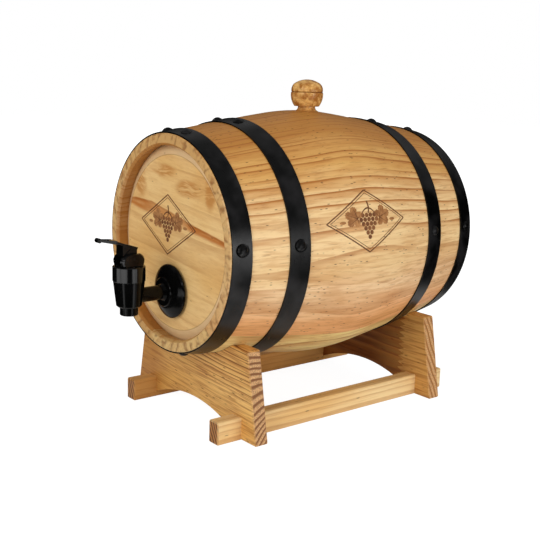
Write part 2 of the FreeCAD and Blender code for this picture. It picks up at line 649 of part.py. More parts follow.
def slotted_hole(radius, start, end):
    """Cutter for a long hole along X between two pin positions."""
    reach = V(2 * TONGUE_HALF, 0, 0)
    side = end - start
    across = V(0, side.z, -side.y) * (radius / side.Length)
    corners = [start + across, end + across, end - across, start - across, start + across]
    bar = Part.Face(Part.makePolygon([p - reach for p in corners])).extrude(reach * 2)
    return bar.fuse([rod(radius, p - reach, p + reach) for p in (start, end)])


def make_tap_stem():
    """Stem whose flat tongue is lifted by the crank pin, with the soft seat cup and its spring."""
    lift = CRANK_ARM * math.sin(math.radians(LEVER_TRAVEL))
    near = CRANK_ARM * math.cos(math.radians(LEVER_TRAVEL))
    tongue = box(-TONGUE_HALF, TONGUE_HALF, -TONGUE_FRONT, TONGUE_BACK, -TONGUE_FOOT, TONGUE_TOP)
    tongue = tongue.cut(slotted_hole(PIVOT_R + SLOT_EASE, ORIGIN, V(0, 0, -lift - SLOT_EASE)))
    slot = V(0, near - SLOT_EASE, 0), V(0, CRANK_ARM + SLOT_EASE, 0)
    tongue = tongue.cut(slotted_hole(CRANK_R + SLOT_EASE, *slot))
    stem = tongue.translated(V(0, 0, PIVOT_Z))
    stem = stem.fuse(rod(STEM_R, V(0, 0, STEM_END), V(0, 0, PIVOT_Z - TONGUE_FOOT)))
    flange_top = STEM_FLANGE_Z + STEM_FLANGE_T
    stem = stem.fuse(rod(STEM_FLANGE_R, V(0, 0, STEM_FLANGE_Z), V(0, 0, flange_top)))
    export("tap_stem", on_tap(stem))

    cup = revolve([
        V(0, 0, STEM_END), V(STEM_R + RUN_GAP, 0, STEM_END), V(STEM_R + RUN_GAP, 0, STEM_FLANGE_Z),
        V(CUP_NECK_R, 0, STEM_FLANGE_Z), V(CUP_NECK_R, 0, CUP_SHOULDER), V(CUP_R, 0, SEAT_LEVEL + CUP_LIP),
        V(CUP_R, 0, SEAT_LEVEL), V(CUP_R - CUP_WEB, 0, SEAT_LEVEL), V(0, 0, STEM_END - CUP_WEB),
    ], AXIS_Z)
    export("tap_seat_cup", on_tap(cup))

    height = SPRING_POCKET_TOP - flange_top - 2 * SPRING_WIRE_R
    helix = Part.makeHelix(height / SPRING_TURNS, height, SPRING_MEAN_R)
    circle = Part.makeCircle(SPRING_WIRE_R, V(SPRING_MEAN_R, 0, 0), AXIS_Y)
    coil = Part.Wire(helix.Edges).makePipeShell([Part.Wire([circle])], True, True)
    spring = Part.Solid(coil.Shells[0]) if coil.ShapeType != "Solid" else coil
    export("tap_spring", on_tap(spring.translated(V(0, 0, flange_top + SPRING_WIRE_R))))


# ---------------------------------------------------------------- stand
def at_cask(shape, y=0.0):
    """Move a stand shape lengthwise with the cask's middle."""
    return shape.translated(V(0, CASK_Y + y, 0))


def make_rails():
    """Two rails, notched from above to halve over the cradle boards."""
    for side, sign in SIDES.items():
        rail = box(RAIL_X, RAIL_X + RAIL_W, -RAIL_LENGTH / 2, RAIL_LENGTH / 2, 0, RAIL_H)
        rail = rail.makeChamfer(EASE, rail.Edges)
        for end in ENDS.values():
            y = end * BOARD_Y
            notch = box(0, BOARD_FOOT_HALF, y - BOARD_T / 2, y + BOARD_T / 2, RAIL_H / 2, RAIL_H)
            rail = rail.cut(notch)
        if sign < 0:
            rail = rail.mirror(ORIGIN, AXIS_X)
        export("rail_" + side, at_cask(rail))


def make_boards():
    """Two cradle boards: trapezoids hollowed to the cask above and arched below."""
    belly = [V(0, HALF, 0), V(0, -HALF, 0), on_surface(-HALF, SEAT_GAP)]
    belly += surface_run(-HALF, HALF, SEAT_GAP)
    seat = revolve(belly, AXIS_Y).translated(V(0, 0, CASK_Z))
    arch = rod(ARCH_R, V(0, -HALF, ARCH_RISE - ARCH_R), V(0, HALF, ARCH_RISE - ARCH_R))
    for end, sign in ENDS.items():
        y = sign * BOARD_Y
        outline = [
            V(-BOARD_FOOT_HALF, y - BOARD_T / 2, 0), V(BOARD_FOOT_HALF, y - BOARD_T / 2, 0),
            V(BOARD_TOP_HALF, y - BOARD_T / 2, BOARD_H), V(-BOARD_TOP_HALF, y - BOARD_T / 2, BOARD_H),
        ]
        board = Part.Face(Part.makePolygon(outline + outline[:1])).extrude(V(0, BOARD_T, 0))
        board = board.makeChamfer(EASE, board.Edges)
        board = board.cut(seat).cut(arch)
        for side in SIDES.values():
            notch = box(RAIL_X, RAIL_X + RAIL_W, y - BOARD_T, y + BOARD_T, 0, RAIL_H / 2)
            board = board.cut(notch if side > 0 else notch.mirror(ORIGIN, AXIS_X))
        export("cradle_board_" + end, at_cask(board))


make_staves()
make_heads()
make_hoops()
make_bung()
make_tap_fixings()
make_tap_body()
make_tap_collar()
make_tap_bonnet()
make_tap_lever()
make_tap_stem()
make_rails()
make_boards()
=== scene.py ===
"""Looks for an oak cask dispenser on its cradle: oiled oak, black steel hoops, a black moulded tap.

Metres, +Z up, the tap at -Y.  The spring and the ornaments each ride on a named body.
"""
import json
import math

import bpy
import numpy as np
from mathutils import Matrix, Vector


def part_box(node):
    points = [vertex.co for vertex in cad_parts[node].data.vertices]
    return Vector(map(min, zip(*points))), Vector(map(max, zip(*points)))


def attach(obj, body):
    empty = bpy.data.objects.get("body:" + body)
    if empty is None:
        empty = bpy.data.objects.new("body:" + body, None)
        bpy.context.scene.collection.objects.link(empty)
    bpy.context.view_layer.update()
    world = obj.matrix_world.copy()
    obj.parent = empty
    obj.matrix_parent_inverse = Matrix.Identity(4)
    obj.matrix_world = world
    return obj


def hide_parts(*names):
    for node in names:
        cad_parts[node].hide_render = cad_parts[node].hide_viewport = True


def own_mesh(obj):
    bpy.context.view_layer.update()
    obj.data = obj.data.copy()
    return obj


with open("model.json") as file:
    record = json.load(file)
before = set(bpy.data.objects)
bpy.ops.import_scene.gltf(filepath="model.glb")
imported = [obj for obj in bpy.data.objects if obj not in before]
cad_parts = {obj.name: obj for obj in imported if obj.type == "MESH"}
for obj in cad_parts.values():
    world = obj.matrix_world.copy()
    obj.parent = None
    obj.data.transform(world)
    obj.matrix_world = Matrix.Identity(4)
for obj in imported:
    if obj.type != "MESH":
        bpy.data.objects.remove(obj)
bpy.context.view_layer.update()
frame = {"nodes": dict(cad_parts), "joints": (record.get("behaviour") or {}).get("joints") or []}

MM = 0.001

# ---------------------------------------------------------------- places read from the frame
BUNG_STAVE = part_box("stave_bung")
QUARTER_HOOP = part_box("hoop_front_quarter")
HEAD_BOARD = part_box("front_head_board_2")
CASK_HALF = (BUNG_STAVE[1].y - BUNG_STAVE[0].y) / 2
CASK_MIDDLE = Vector((0, (BUNG_STAVE[0].y + BUNG_STAVE[1].y) / 2,
                      (QUARTER_HOOP[0].z + QUARTER_HOOP[1].z) / 2))
PANEL_Y = HEAD_BOARD[0].y

BILGE_R = 122 * MM
CHIME_R = 101 * MM
STAVE_T = 11 * MM
PANEL_R = 82 * MM            # flat field of a head
HEAD_EDGE_R = 91.8 * MM      # where the bevelled rim meets the staves
MIDDLE_CURVE = 0.4           # radius of the middle's curve, as a share of one arc from end to end
MIDDLE_HALF = 30 * MM        # half the length of that curve


# ---------------------------------------------------------------- shader arithmetic
class Value:
    """A number that varies over a surface. Arithmetic on it adds Math nodes to its paint."""

    def __init__(self, paint, socket):
        self.paint = paint
        self.socket = socket

    def math(self, operation, *others):
        return self.paint.node(
            "ShaderNodeMath", {"operation": operation}, dict(enumerate((self,) + others)),
        )

    def __add__(self, other):
        return self.math("ADD", other)

    __radd__ = __add__

    def __mul__(self, other):
        return self.math("MULTIPLY", other)

    __rmul__ = __mul__

    def __sub__(self, other):
        return self.math("SUBTRACT", other)

    def __rsub__(self, other):
        return self.paint.node("ShaderNodeMath", {"operation": "SUBTRACT"}, {0: other, 1: self})

    def __truediv__(self, other):
        return self.math("DIVIDE", other)

    def __pow__(self, other):
        return self.math("POWER", other)

    def __abs__(self):
        return self.math("ABSOLUTE")

    def step(self, start, end):
        """0 below start, 1 above end, and a smooth rise between them."""
        return self.paint.node(
            "ShaderNodeMapRange", {"interpolation_type": "SMOOTHSTEP"},
            {"Value": self, "From Min": start, "From Max": end},
        )

    def fall(self, start, end):
        """1 below start, 0 above end, and a smooth fall between them."""
        return 1.0 - self.step(start, end)

    def band(self, start, end, soft):
        """1 between start and end, 0 outside, with edges of the given softness."""
        return self.step(start - soft, start + soft) * self.fall(end - soft, end + soft)


class Paint:
    """One material, or the world. node() adds any node; the rest are short forms of it."""

    def __init__(self, name, kinds=bpy.data.materials):
        self.material = kinds.new(name)
        self.material.use_nodes = True
        self.tree = self.material.node_tree
        self.tree.nodes.clear()
        self.place = self.node("ShaderNodeTexCoord", output="Object")

    def node(self, kind, settings=None, inputs=None, output=0):
        """Add a node: its settings first, then the value or the link of each named socket."""
        made = self.tree.nodes.new(kind)
        for name, value in (settings or {}).items():
            setattr(made, name, value)
        for name, value in (inputs or {}).items():
            if isinstance(value, Value):
                self.tree.links.new(value.socket, made.inputs[name])
            else:
                made.inputs[name].default_value = value
        return Value(self, made.outputs[output]) if made.outputs else None

    def mix(self, first, second, factor):
        """Colour mix: first where factor is 0, second where it is 1."""
        return self.node(
            "ShaderNodeMix", {"data_type": "RGBA"}, {0: factor, 6: first, 7: second}, 2)

    def coats(self, colour, *coats):
        """Lay coats over a colour in turn. Each is a tone and how far it covers, 0 to 1."""
        for tone, cover in coats:
            colour = self.mix(colour, tone, cover)
        return colour

    def vector(self, operation, first, second, output=0):
        return self.node(
            "ShaderNodeVectorMath", {"operation": operation}, {0: first, 1: second}, output)

    def join(self, x, y, z):
        return self.node("ShaderNodeCombineXYZ", None, {0: x, 1: y, 2: z})

    def along(self, axis, origin):
        """Distance of the surface point from origin along a unit axis."""
        arm = self.vector("SUBTRACT", self.place, tuple(origin))
        return self.vector("DOT_PRODUCT", arm, tuple(axis), "Value")

    def facing(self, axis):
        """1 where the surface faces along the axis, either way, and 0 where it lies along it."""
        normal = self.node("ShaderNodeNewGeometry", output="Normal")
        return abs(self.vector("DOT_PRODUCT", normal, tuple(axis), "Value")).step(0.55, 0.85)

    def noise(self, where, scale, detail=2.0, roughness=0.5):
        """Cloudy noise, 0 to 1."""
        return self.node(
            "ShaderNodeTexNoise", None,
            {"Vector": where, "Scale": scale, "Detail": detail, "Roughness": roughness},
        )

    def glow(self, strength):
        """White light of one strength, given off by the surface."""
        return self.node("ShaderNodeEmission", None, {"Color": grey(1.0), "Strength": strength})

    def mix_shaders(self, first, second, factor):
        """First shader where factor is 0, second where it is 1."""
        return self.node("ShaderNodeMixShader", None, {0: factor, 1: first, 2: second})

    def surface(self, colour, roughness, bump, bump_depth, **constants):
        """Finish the material with one Principled BSDF. Constants are set on its own sockets."""
        normal = self.node("ShaderNodeBump", None, {"Distance": bump_depth, "Height": bump})
        inputs = {"Base Color": colour, "Roughness": roughness, "Normal": normal}
        inputs.update({name.replace("_", " "): value for name, value in constants.items()})
        return self.finish(self.node("ShaderNodeBsdfPrincipled", None, inputs))

    def finish(self, shader):
        self.node("ShaderNodeOutputMaterial", None, {"Surface": shader})
        return self.material


def srgb(red, green, blue):
    """A display colour (0 to 255) as the linear colour a shader takes."""
    shares = [c / 255 for c in (red, green, blue)]
    return (*[c / 12.92 if c <= 0.04045 else ((c + 0.055) / 1.055) ** 2.4 for c in shares], 1.0)


def grey(level):
    """A linear grey, 0 to 1."""
    return level, level, level, 1.0


# ---------------------------------------------------------------- wood
# Stave tones: the gold is painted shade at the top of the cask and the cream is a painted highlight
# on its side. The rose, blush and pale are the lower staves' own tones, painted lighter as light
# from below.
LIT_CREAM = srgb(248, 212, 154)
HONEY = srgb(228, 176, 100)
SHADE_GOLD = srgb(198, 136, 60)
ROSE_LIT = srgb(255, 218, 168)
BLUSH_LIT = srgb(242, 178, 118)
PALE_LIT = srgb(255, 230, 156)
STRAW = srgb(244, 204, 138)
LATE_ORANGE = srgb(200, 132, 62)       # late wood: the soft side of a ring, its core, its fibres
LATE_RUST = srgb(170, 100, 40)
LATE_BROWN = srgb(158, 92, 38)
END_BROWN = srgb(120, 70, 32)
SAWN_STRAW = srgb(214, 172, 110)
PORE = srgb(84, 44, 18)
# painted shade on the staves' inner faces, in the recess at each head
RECESS_SHADE_BROWN = srgb(172, 112, 46)
# painted highlight on the heads' bevelled rims
RIM_HIGHLIGHT_CREAM = srgb(234, 204, 158)
HEARTWOOD = srgb(190, 108, 34)
CURL_BROWN = srgb(192, 124, 50)

GRAIN_DEPTH = 0.12 * MM
OILED_SPECULAR = 0.28


class Wood:
    """Sawn wood seen in a board's own directions: across the face, into it and along it.

    The growth rings run round a pith line that lies along the board.  The distance to it is the
    root of (across - pith[0]) squared plus (depth + pith[1]) squared, pushed about by noise drawn
    out along the board.  Ring number = (distance / reach) to the power crowd, times reach over
    spacing and crowd, so that spacing holds at distance reach and rings crowd further out.
    """

    def __init__(self, paint, directions, seed):
        self.paint = paint
        self.across, self.depth, self.length = directions
        self.seed = seed

    def drawn(self, share):
        """The place with its length shrunk to a share, which draws noise out along the board."""
        return self.paint.join(self.across + self.seed, self.depth, self.length * share)

    def rings(self, spacing, pith, sway, reach=100 * MM, crowd=1.0, jog=0.8, arch=0.0):
        """Late wood of each ring: a soft orange rise, and a dark core with a hard outer edge.

        sway and jog push the rings about, in metres and in rings.  arch lifts the face off the
        pith by itself times the length squared, which closes the rings into long arches about
        the middle of the board.
        """
        push = (self.paint.noise(self.drawn(0.4), 13.0) - 0.5) * (2 * sway)
        jitter = (self.paint.noise(self.drawn(0.15), 80.0) - 0.5) * (2.2 * MM)
        depth = self.depth + self.length * self.length * arch + pith[1]
        out = ((self.across - pith[0]) ** 2.0 + depth ** 2.0) ** 0.5 + push + jitter
        count = (out / reach) ** crowd * (reach / spacing / crowd)
        uneven = self.paint.noise(self.paint.join(count, self.seed, 0.0), 0.7, 1.0) * (2 * jog)
        phase = (count + uneven).math("FRACT")
        edge = phase.fall(0.965, 1.0)
        return phase.step(0.3, 0.92) * edge, phase.step(0.72, 0.9) * edge

    def fibres(self, fineness=900.0, share=0.05):
        """Fine rough noise drawn out along the board."""
        return self.paint.noise(self.drawn(share), fineness, 3.0, 0.7)

    def bands(self, fineness, share):
        """Soft noise drawn out along the board."""
        return self.paint.noise(self.drawn(share), fineness)

    def pores(self, size, share, drawn=3.0):
        """Short dark ticks along the fibres: the middles of a share of small long cells."""
        cell = {"Vector": self.drawn(1 / drawn), "Scale": 1 / size}
        near = self.paint.node("ShaderNodeTexVoronoi", None, cell, "Distance")
        pick = self.paint.node("ShaderNodeTexVoronoi", None, cell, "Color")
        chance = self.paint.node("ShaderNodeSeparateColor", None, {0: pick})
        return near.fall(0.09, 0.2) * (chance + share).step(0.98, 1.0)

    def finish(self, colour, late, ticks, roughness):
        """Oiled surface: late wood and pores lie lower and shine less."""
        height = self.fibres() * 0.5 - late * 0.4 - ticks
        shine = roughness + late * 0.08 + ticks * 0.2
        return self.paint.surface(
            colour, shine, height, GRAIN_DEPTH, Specular_IOR_Level=OILED_SPECULAR)


def dress(material, *nodes):
    """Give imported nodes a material."""
    for name in nodes:
        mesh = frame["nodes"][name].data
        mesh.materials.clear()
        mesh.materials.append(material)


def cask_directions(paint, angle):
    """Round the shell from an angle at the top, in from its outer face, and along the cask."""
    turn = math.radians(angle)
    out = paint.along((math.sin(turn), 0, math.cos(turn)), CASK_MIDDLE)
    side = paint.along((math.cos(turn), 0, -math.sin(turn)), CASK_MIDDLE)
    length = paint.along((0, 1, 0), CASK_MIDDLE)
    across = side.math("ARCTAN2", out) * BILGE_R
    fall = (BILGE_R - CHIME_R) / CASK_HALF ** 2
    depth = (BILGE_R - length * length * fall) - (side * side + out * out) ** 0.5
    return across, depth, length


def stave_material(name, seed, middle, tone, tones, spacing, pith, late_share, tick_share,
                   crowd=1.0, calm=1.0):
    """Oiled staves: one tone, then others from further round the cask. These tones paint shade and
    light round the cask as well as the staves' own tones.

    middle is the angle that across is measured from, and tones is (start, colour) pairs with
    the start in metres round from there.  The rings fade beyond calm, in metres round too.
    late_share and tick_share say how strong the late wood is, and how many pores show.
    """
    paint = Paint(name)
    wood = Wood(paint, cask_directions(paint, middle), seed)
    soft, core = wood.rings(spacing, pith, sway=8 * MM, crowd=crowd, jog=1.3, arch=0.25)
    fade = 1.0 - wood.across.step(calm - 15 * MM, calm + 15 * MM) * 0.6
    clear = (wood.bands(40.0, 0.2).step(0.32, 0.62) * 0.85 + 0.15) * fade
    shift = wood.across + (wood.bands(30.0, 0.3) - 0.5) * 0.05
    cluster = wood.bands(22.0, 0.5)
    ticks = wood.pores(2.4 * MM, (cluster - 0.5) * 1.6 + soft * 0.2 + tick_share, 4.0)
    end = paint.facing((0, 1, 0)) * abs(wood.length).step(CASK_HALF - 1.5 * MM, CASK_HALF - 1 * MM)
    # Painted shade: the staves' inner faces, seen in the recess at each head, turn darker brown.
    shaded_inside = wood.depth.step(STAVE_T - 3.5 * MM, STAVE_T - 1.5 * MM) * (1.0 - end)
    colour = paint.coats(
        tone,
        *[(other, shift.step(start - 18 * MM, start + 18 * MM)) for start, other in tones],
        (LATE_ORANGE, wood.bands(90.0, 0.12).fall(0.3, 0.6) * 0.24),
        (LATE_ORANGE, wood.bands(330.0, 0.1).fall(0.34, 0.58) * 0.34),
        (LATE_ORANGE, soft * clear * late_share),
        (LATE_RUST, core * clear * late_share),
        (LATE_BROWN, wood.fibres(520.0, 0.08).fall(0.3, 0.48) * 0.4),
        (PORE, ticks * 0.85),
        *stave_end_coats(paint, wood, end),
        (RECESS_SHADE_BROWN, shaded_inside * 0.75))
    return wood.finish(colour, core, ticks, 0.4)


def stave_end_coats(paint, wood, end):
    """Sawn stave ends: straw, with slanting brown bars and mottled grime."""
    grime = paint.noise(paint.place, 160.0, 3.0)
    warp = paint.noise(paint.place, 45.0) * 2.5
    bar = ((wood.across + wood.depth * 0.9) / (17 * MM) + warp).math("FRACT")
    return ((SAWN_STRAW, end * 0.75),
            (END_BROWN, end * bar.band(0.55, 0.75, 0.16) * grime.step(0.35, 0.55) * 0.7),
            (LATE_BROWN, end * grime.step(0.48, 0.7) * 0.5))


def dress_staves():
    """The upper side reads as one wide run of grain, painted darker at the top as shade and lighter
    on its side as a painted highlight; the lower staves differ in tone, and their tones are painted
    lighter as light from below.
    """
    down = math.radians(1) * BILGE_R       # metres round the cask in one degree
    upper = stave_material(
        "stave_oak_upper", 1.3, 0.0, SHADE_GOLD,
        [(36 * down, HONEY), (58 * down, LIT_CREAM), (104 * down, ROSE_LIT)],
        10 * MM, (99 * down, 26 * MM), late_share=0.8, tick_share=0.45, crowd=1.4, calm=88 * down)
    dress(upper, "stave_bung", "stave_right_1", "stave_right_2", "stave_right_3")
    blush = stave_material(
        "stave_oak_blush", 3.1, 120.0, ROSE_LIT, [(-2 * down, BLUSH_LIT)],
        14 * MM, (-20 * MM, 30 * MM), late_share=0.3, tick_share=0.6)
    dress(blush, "stave_right_4")
    pale = stave_material(
        "stave_oak_pale", 5.2, 150.0, PALE_LIT, [],
        12 * MM, (10 * MM, 50 * MM), late_share=0.5, tick_share=0.1)
    dress(pale, "stave_right_5", "stave_bottom")
    # The far side has the same painted shade towards its edges and the same painted highlight in
    # its middle.
    far = stave_material(
        "stave_oak_far", 7.7, -90.0, SHADE_GOLD, [(-40 * down, HONEY), (0, LIT_CREAM), (40 * down, HONEY)],
        9 * MM, (-100 * MM, 26 * MM), late_share=0.7, tick_share=0.3, crowd=1.4)
    dress(far, *["stave_left_%d" % i for i in range(1, 6)])


def head_material(name, seed, heartwood):
    """Pale edge-joined boards whose joints hardly show. The bevelled rim is painted lighter as a
    highlight, with thin dark lines painted as shade at its inner edge and where it meets the
    staves.
    """
    paint = Paint(name)
    origin = Vector((0, PANEL_Y, CASK_MIDDLE.z))
    level = paint.along((1, 0, 0), origin)
    height = paint.along((0, 0, 1), origin)
    wood = Wood(paint, (height + level * 0.1, paint.along((0, 1, 0), origin), level), seed)
    soft, core = wood.rings(12 * MM, (0.0, 20 * MM), sway=5 * MM, reach=60 * MM, crowd=1.2)
    clear = wood.bands(50.0, 0.08).step(0.4, 0.7) * 0.8
    cloud = paint.noise(wood.drawn(0.6), 20.0)
    ticks = wood.pores(3 * MM, 0.06)
    radius = (level * level + height * height) ** 0.5
    # Painted highlight on the bevelled rim, and painted shade in thin dark lines at its inner edge
    # and where it meets the staves.
    rim = radius.step(PANEL_R - 0.3 * MM, PANEL_R + 0.3 * MM)
    edges = (radius.band(PANEL_R - 0.7 * MM, PANEL_R, 0.3 * MM)
             + radius.step(HEAD_EDGE_R - 1.6 * MM, HEAD_EDGE_R))
    colour = paint.coats(
        STRAW,
        (HONEY, cloud.step(0.35, 0.75) * 0.8),
        (LATE_ORANGE, wood.bands(300.0, 0.12).fall(0.32, 0.6) * 0.22),
        (LATE_ORANGE, soft * clear * 0.3),
        (LATE_BROWN, core * clear * 0.3),
        (LATE_BROWN, wood.fibres(1100.0, 0.1).fall(0.3, 0.5) * 0.2),
        *(heartwood_coats(paint, wood, level, height) if heartwood else ()),
        (RIM_HIGHLIGHT_CREAM, rim * 0.7),
        (END_BROWN, edges.math("MINIMUM", 1.0) * 0.45),
        (PORE, ticks * 0.45))
    return wood.finish(colour, core, ticks, 0.45)


# Middle of each curl, right and up from the head's, and its half width and height, in mm.
CURLS = ((26, 53, 24, 9), (-18, 66, 24, 7), (58, 54, 9, 20), (-58, 50, 12, 16))


def heartwood_coats(paint, wood, level, height):
    """An orange wedge of heartwood that thins along the board, under curls of darker grain.

    Both edges of the wedge are straight lines that fall to the right, roughened by noise.  A
    curl is an ellipse with a ragged rim, filled with long strokes.
    """
    wiggle = (paint.noise(wood.drawn(0.4), 60.0) - 0.5) * (5 * MM)
    upper = (27.6 * MM - level * 0.19).math("MINIMUM", 35 * MM) + wiggle
    lower = 18.6 * MM - level * 0.13 + wiggle * 0.6
    over = height - upper
    wedge = (height - lower).step(-3.2 * MM, 2 * MM) * over.fall(-0.8 * MM, 0.6 * MM)
    thin = abs(level + 12 * MM).step(20 * MM, 45 * MM) * 0.25 + 0.7
    streaks = paint.noise(wood.drawn(0.12), 260.0)
    edge = over.band(-2.2 * MM, -0.4 * MM, 0.7 * MM) * thin
    curl = paint.noise(paint.join(level * 0.5, 0.0, height), 34.0)
    strokes = paint.noise(paint.join(level * 0.2, 3.0, height + curl * 0.03), 300.0)
    coats = [(HEARTWOOD, wedge * thin * (streaks.step(0.2, 0.6) * 0.5 + 0.5)),
             (LATE_BROWN, edge * 0.45)]
    for x, z, wide, tall in CURLS:
        out = ((level - x * MM) / (wide * MM)) ** 2.0 + ((height - z * MM) / (tall * MM)) ** 2.0
        patch = (out + (curl - 0.5) * 1.2).fall(0.1, 1.3)
        coats.append((CURL_BROWN, patch * (strokes.step(0.35, 0.6) * 0.65 + 0.15)))
    return coats


def dress_heads():
    """Both heads; only the front one has the heartwood wedge."""
    for end, seed, heartwood in (("front", 2.2, True), ("rear", 6.4, False)):
        dress(head_material("head_oak_" + end, seed, heartwood),
              *["%s_head_board_%d" % (end, i) for i in (1, 2, 3)])


FINGER = 6.5 * MM            # width of one finger of the rear board's joint
FINGER_REACH = 17 * MM       # twice the length of a finger
FINGER_JOINT = 61 * MM       # the joint's distance from the board's middle


def front_board_figure(wood, level, height):
    """Thin lines that crowd towards the upper edge, and a left end painted darker as shade.

    Returns the late wood, how far its lines show, coats, and the bars of the sawn ends: their
    lean, gap and waver, and their tone.
    """
    late = wood.rings(4.2 * MM, (-90 * MM, 30 * MM), sway=5 * MM, jog=1.0)
    shown = (height + level * 0.1).step(-4 * MM, 22 * MM) * level.step(-80 * MM, 0.0) * 0.8 + 0.2
    # Painted shade: the board darkens towards its left end.
    coats = [(srgb(176, 114, 44), level.fall(-75 * MM, -30 * MM) * 0.7)]
    lean = height.fall(-30 * MM, 5 * MM) * 0.9 + 0.06
    return late, shown, coats, (lean, 6 * MM, 3.0, srgb(142, 90, 50))


def rear_board_figure(wood, level, height):
    """Few broad lines on wood painted dark as shade under the cask, and a finger joint with a paler
    piece beyond it.

    The joint's teeth are a zigzag: the fraction of height over FINGER, its distance from one
    half, times FINGER_REACH.  Returns what front_board_figure does.
    """
    late = wood.rings(10 * MM, (-30 * MM, 20 * MM), sway=9 * MM, reach=30 * MM, jog=0.5)
    tooth = abs((height / FINGER).math("FRACT") - 0.5) * FINGER_REACH
    joint = level - FINGER_JOINT + tooth
    outer = joint.step(0.0, 0.4 * MM)
    # The first coat is painted shade on the board's face under the cask, fading out towards the
    # right end. The second darkens the piece left of the joint, partly its own tone and partly
    # painted shade.
    coats = [(srgb(96, 42, 0), level.fall(0.0, 75 * MM) * 0.97),
             (srgb(124, 62, 0), (1.0 - outer) * 0.6),
             (srgb(214, 164, 92), outer * 0.8),
             (END_BROWN, joint.band(-0.4 * MM, 0.4 * MM, 0.3 * MM) * 0.8)]
    return late, 0.8 - outer * 0.5, coats, (-3.0, 17 * MM, 1.2, srgb(176, 116, 56))


def stand_board_material(end, tilt, seed, figure):
    """Golden striped board with brown bars on its sawn ends."""
    low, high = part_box("cradle_board_" + end)
    origin = (low + high) / 2
    paint = Paint("stand_board_" + end)
    level = paint.along((1, 0, 0), origin)
    height = paint.along((0, 0, 1), origin)
    wood = Wood(paint, (height + level * tilt, paint.along((0, 1, 0), origin), level), seed)
    (soft, core), shown, coats, (lean, gap, waver, bar_tone) = figure(wood, level, height)
    cloud = paint.noise(wood.drawn(0.25), 26.0)
    ticks = wood.pores(3 * MM, 0.6, 5.0)
    ends = paint.facing((1, 0, 0)) * abs(level).step(60 * MM, 65 * MM)
    face = 1.0 - ends
    warp = paint.noise(paint.join(height, wood.depth, seed), 22.0) * waver
    saw = ((height - wood.depth * lean) / gap + warp).math("FRACT")
    speck = paint.noise(paint.place, 900.0)
    sawn = paint.coats(
        srgb(226, 176, 120),
        (bar_tone, saw.step(0.3, 0.6) * saw.fall(0.8, 0.95)),
        (srgb(120, 78, 50), speck.fall(0.35, 0.6) * 0.5))
    colour = paint.coats(
        srgb(246, 198, 118),
        (srgb(218, 160, 80), cloud.step(0.3, 0.7) * 0.8),
        *coats,
        (LATE_ORANGE, soft * shown * 0.75),
        (END_BROWN, core * shown),
        (LATE_BROWN, wood.fibres(400.0, 0.05).fall(0.34, 0.48) * 0.6),
        (sawn, ends),
        (LATE_BROWN, wood.bands(420.0, 0.06).fall(0.3, 0.55) * 0.5 * face),
        (PORE, ticks * 0.7 * face))
    return wood.finish(colour, core * shown, ticks, 0.42)


def rail_material(side, seed, pale, warm):
    """Straight-grained rail, painted browner on top as shade under the cask, with slanting dark
    rings on its sawn ends.
    """
    low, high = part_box("rail_" + side)
    origin = (low + high) / 2
    paint = Paint("stand_rail_" + side)
    across, depth, length = (paint.along(a, origin) for a in ((0, 0, 1), (1, 0, 0), (0, 1, 0)))
    wood = Wood(paint, (across, depth, length), seed)
    soft, core = wood.rings(5 * MM, (-30 * MM, 20 * MM), sway=2.5 * MM, reach=40 * MM)
    clear = wood.bands(60.0, 0.06).step(0.25, 0.6)
    cloud = paint.noise(wood.drawn(0.2), 30.0)
    ticks = wood.pores(3.4 * MM, 0.15, 5.0)
    ends = paint.facing((0, 1, 0)) * abs(length).step(120 * MM, 130 * MM)
    warp = paint.noise(paint.place, 60.0) * 0.9
    rings = ((across * 0.45 + depth) / (4.2 * MM) + warp).math("FRACT")
    sawn = paint.mix(srgb(184, 126, 68), srgb(78, 40, 14), rings.band(0.35, 0.8, 0.15) * 0.85)
    colour = paint.coats(
        pale,
        (warm, cloud.step(0.35, 0.7)),
        (LATE_ORANGE, soft * clear * 0.3),
        (LATE_BROWN, core * clear * 0.15),
        (LATE_BROWN, wood.fibres(900.0, 0.03).fall(0.3, 0.5) * 0.25),
        # Painted shade: faces that face up or down turn browner.
        (srgb(216, 166, 100), paint.facing((0, 0, 1)) * 0.4),
        (sawn, ends),
        (PORE, ticks * 0.6 * (1.0 - ends)))
    return wood.finish(colour, core * clear, ticks, 0.42)


def dress_stand():
    """Both cradle boards, and the rails: lit and shaded copies of one wood, the left one painted
    darker as shade.
    """
    for end, tilt, seed, figure in (("front", 0.06, 1.7, front_board_figure),
                                    ("rear", 0.0, 8.8, rear_board_figure)):
        dress(stand_board_material(end, tilt, seed, figure), "cradle_board_" + end)
    # The left rail's darker tones are painted shade under the cask.
    for side, seed, pale, warm in (("left", 2.9, srgb(226, 170, 96), srgb(190, 130, 62)),
                                   ("right", 5.5, srgb(255, 224, 166), srgb(244, 200, 132))):
        dress(rail_material(side, seed, pale, warm), "rail_" + side)


BUNG_GROOVE = 12.4 * MM      # depth of the turned groove under the bung's top


